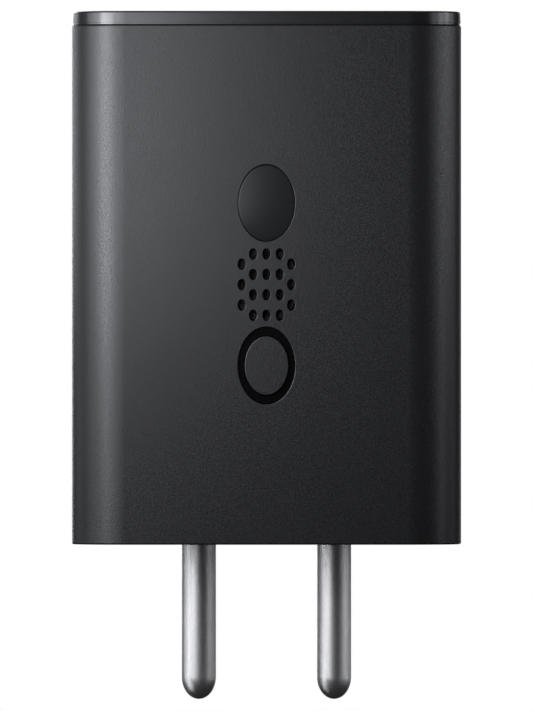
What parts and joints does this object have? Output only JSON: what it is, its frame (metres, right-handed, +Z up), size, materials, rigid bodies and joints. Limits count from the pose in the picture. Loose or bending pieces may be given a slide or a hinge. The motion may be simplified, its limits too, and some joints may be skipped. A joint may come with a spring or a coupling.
{
  "type": "smart plug",
  "caption": "Black round-pin smart plug with a glossy top outlet cap, oval power button, sound grille and light ring round a pairing button; opens to boards, relay and shuttered contacts.",
  "frame": {"origin": "midway between the two pins, on the flat base face that meets the wall socket", "axes": "+Z up from the base to the outlet cap, pins point along -Z; -Y is the front with the buttons; +X is to the right of the front"},
  "size_m": [0.0544, 0.032, 0.0962],
  "materials": {
    "housing_plastic": "fine grained matte black moulding",
    "base_plastic": "fine grained matte black moulding",
    "cap_plastic": "polished black moulding",
    "button_plastic": "satin black moulding",
    "light_guide": "smoked translucent moulding",
    "pin_nickel": "satin nickel plate on brass",
    "screw_steel": "zinc plated steel",
    "switch_metal": "tinned steel",
    "shield_metal": "tinned steel shield",
    "spring_steel": "spring steel wire",
    "magnet_iron": "nickel plated soft iron",
    "mesh_cloth": "woven acoustic mesh",
    "foam": "closed cell foam",
    "black_component": "moulded black resin",
    "circuit_board": "green solder mask on glass epoxy",
    "led_lens": "clear resin with phosphor",
    "contact_brass": "rolled brass",
    "spring_copper": "copper alloy strip",
    "copper_wire": "enamelled copper wire",
    "ivory_plastic": "flame retardant ivory moulding",
    "shutter_plastic": "low friction white moulding",
    "relay_plastic": "blue moulded cover",
    "ferrite": "sintered ferrite",
    "winding_tape": "polyester winding tape",
    "capacitor_sleeve": "dark blue shrink sleeve",
    "film_yellow": "yellow moulded box",
    "fuse_ceramic": "ceramic tube with metal caps",
    "varistor_coat": "epoxy dipped disc"
  },
  "bodies": {
    "plug_body": {"housing": "housing_plastic", "top_cap": "cap_plastic", "base_plate": "base_plastic", "base_screws": "screw_steel", "pin_left": "pin_nickel", "pin_right": "pin_nickel", "ring_light_guide": "light_guide", "grille_mesh": "mesh_cloth", "buzzer_gasket": "foam", "buzzer": "black_component", "control_board": "circuit_board", "control_board_screws": "screw_steel", "power_switch": "switch_metal", "pairing_switch": "switch_metal", "status_leds": "led_lens", "wifi_module": "shield_metal", "board_header": "contact_brass", "header_socket": "black_component", "power_board": "circuit_board", "strap_left": "contact_brass", "strap_right": "contact_brass", "relay_base": "ivory_plastic", "relay_cover": "relay_plastic", "relay_coil": "copper_wire", "relay_yoke": "magnet_iron", "relay_fixed_contact": "spring_copper", "transformer_core": "ferrite", "transformer_bobbin": "ivory_plastic", "transformer_winding": "winding_tape", "input_capacitor": "capacitor_sleeve", "output_capacitor": "black_component", "x_capacitor": "film_yellow", "fuse": "fuse_ceramic", "varistor": "varistor_coat", "bridge_rectifier": "black_component", "filter_choke": "copper_wire", "outlet_carrier": "ivory_plastic", "shutter_spring": "spring_steel", "outlet_contact_left": "contact_brass", "outlet_contact_right": "contact_brass", "carrier_screws": "screw_steel"},
    "power_button": {"power_button": "button_plastic", "power_switch_plunger": "black_component"},
    "pairing_button": {"pairing_button": "housing_plastic", "pairing_switch_plunger": "black_component"},
    "outlet_shutter": {"outlet_shutter": "shutter_plastic"},
    "relay_armature": {"relay_armature": "magnet_iron", "relay_contact_blade": "spring_copper"}
  },
  "joints": [
    {"name": "power_button_press", "type": "slide", "parent": "plug_body", "child": "power_button", "axis": [0, 1, 0], "range_m": [0, 0.0004], "stiffness_N_per_m": 3000, "springref_m": -0.0001},
    {"name": "pairing_button_press", "type": "slide", "parent": "plug_body", "child": "pairing_button", "axis": [0, 1, 0], "range_m": [0, 0.0004], "stiffness_N_per_m": 3000, "springref_m": -0.0001},
    {"name": "shutter_slide", "type": "slide", "parent": "plug_body", "child": "outlet_shutter", "axis": [0, 1, 0], "range_m": [0, 0.0052], "stiffness_N_per_m": 150, "springref_m": -0.002, "deforming": ["shutter_spring"]},
    {"name": "armature_tilt", "type": "hinge", "parent": "plug_body", "child": "relay_armature", "pos_m": [-0.016, -0.002, 0.0421], "axis": [1, 0, 0], "range_deg": [0, 4.5], "stiffness_Nm_per_rad": 0.02, "springref_deg": -2.86}
  ]
}
